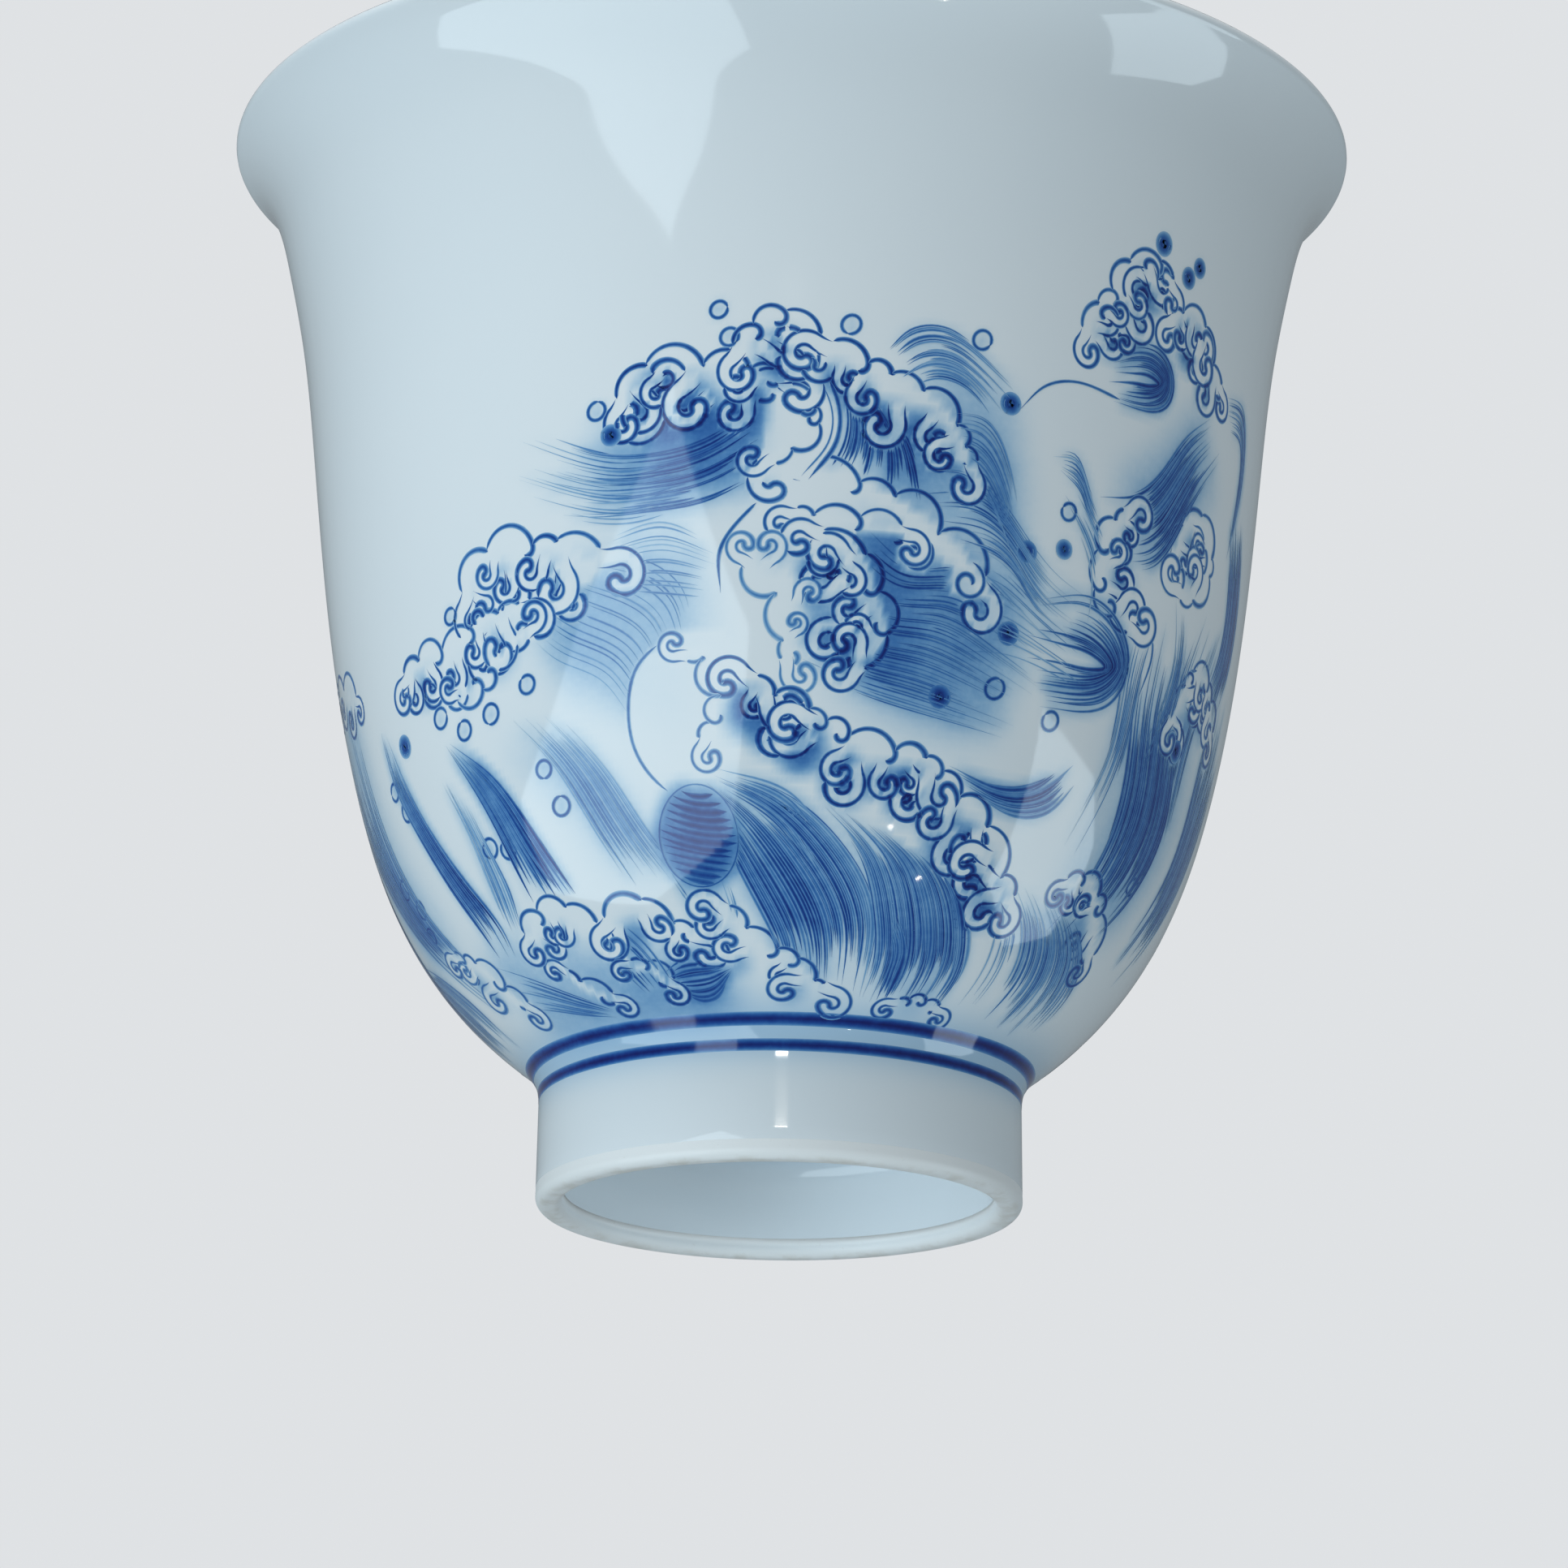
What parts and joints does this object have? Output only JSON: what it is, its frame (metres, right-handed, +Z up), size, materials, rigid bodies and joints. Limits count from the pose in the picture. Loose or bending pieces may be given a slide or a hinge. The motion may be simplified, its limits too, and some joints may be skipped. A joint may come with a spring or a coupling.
{
  "type": "teacup",
  "caption": "Handleless porcelain teacup with a flared lip, rounded belly, tall straight foot ring and blue painted waves under clear glaze.",
  "frame": {"origin": "centre of the circle on which the foot ring stands, on the table", "axes": "+Z up along the cup's axis, towards the lip; -Y faces the main painted wave"},
  "size_m": [0.068, 0.068, 0.0658],
  "materials": {
    "porcelain": "matt fired porcelain",
    "clear_glaze": "glossy clear glaze over cool white porcelain",
    "cobalt_blue": "cobalt brushwork under glossy clear glaze"
  },
  "bodies": {
    "root": {"bowl_body": "porcelain", "foot_ring": "porcelain", "luting_slip": "porcelain", "outer_glaze": "clear_glaze", "inner_glaze": "clear_glaze", "well_glaze": "clear_glaze", "lower_blue_band": "cobalt_blue", "upper_blue_band": "cobalt_blue", "wave_painting": "cobalt_blue"}
  },
  "joints": []
}
